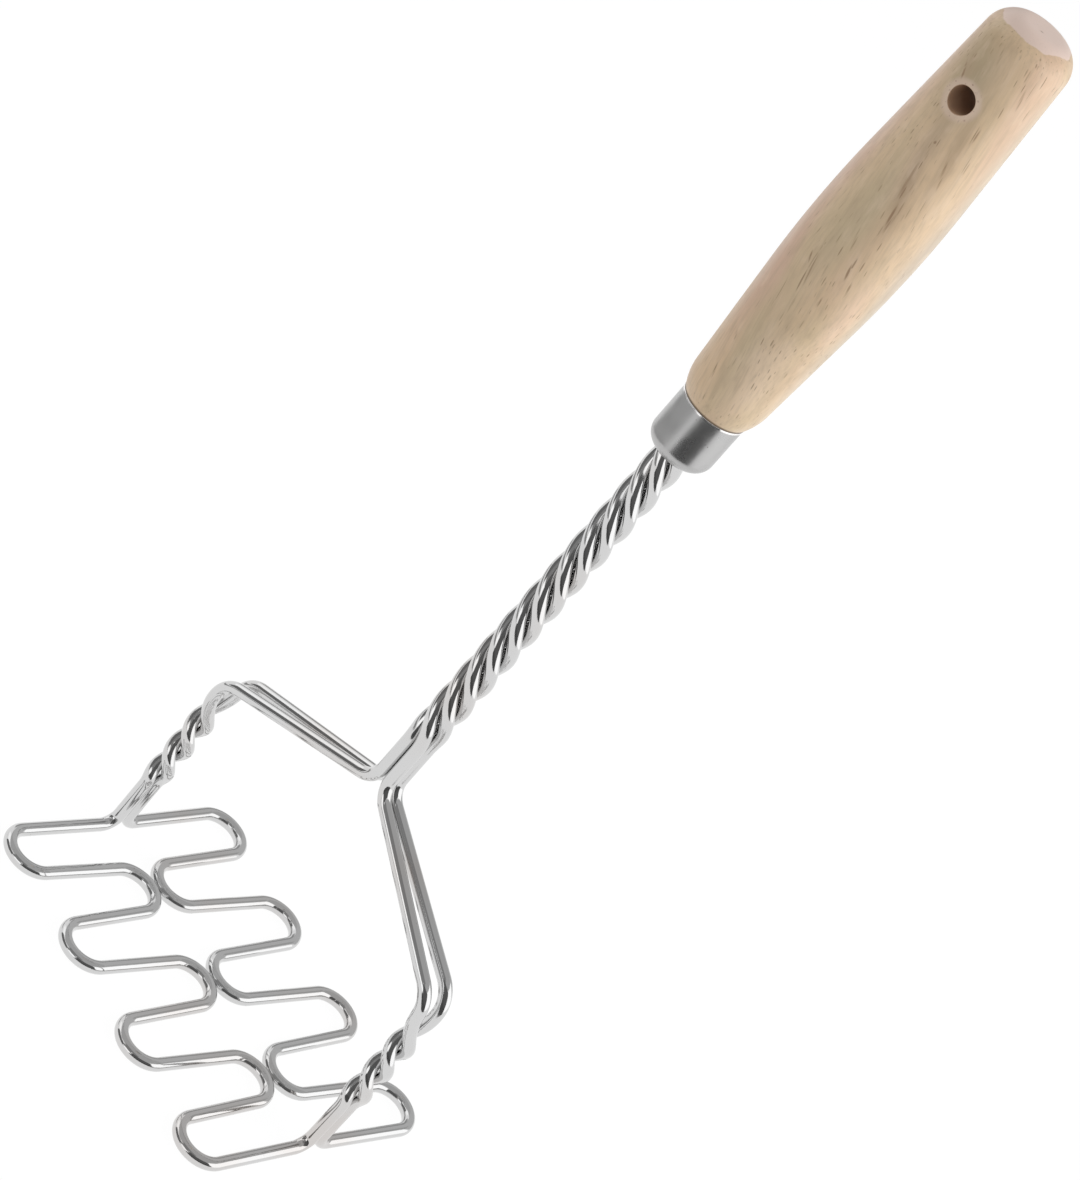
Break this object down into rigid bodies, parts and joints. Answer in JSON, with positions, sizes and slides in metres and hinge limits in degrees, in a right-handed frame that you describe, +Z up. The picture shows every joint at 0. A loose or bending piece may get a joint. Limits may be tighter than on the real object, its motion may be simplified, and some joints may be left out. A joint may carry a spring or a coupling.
{
  "type": "potato masher",
  "caption": "Potato masher: a flat looped wire grid on two twisted legs, a twisted wire shank, a steel ferrule and a turned wooden handle with a hang hole.",
  "frame": {"origin": "middle of the wire grid, on the plane that the grid rests on", "axes": "+Z up the shank towards the handle's butt; the two arms spread along X; the grid's fingers point along Y"},
  "size_m": [0.1042, 0.0792, 0.3173],
  "materials": {
    "polished_wire": "polished",
    "ferrule_steel": "satin",
    "turned_wood": "satin lacquer"
  },
  "bodies": {
    "root": {"near_wire": "polished_wire", "far_wire": "polished_wire", "ferrule": "ferrule_steel", "handle": "turned_wood"}
  },
  "joints": []
}
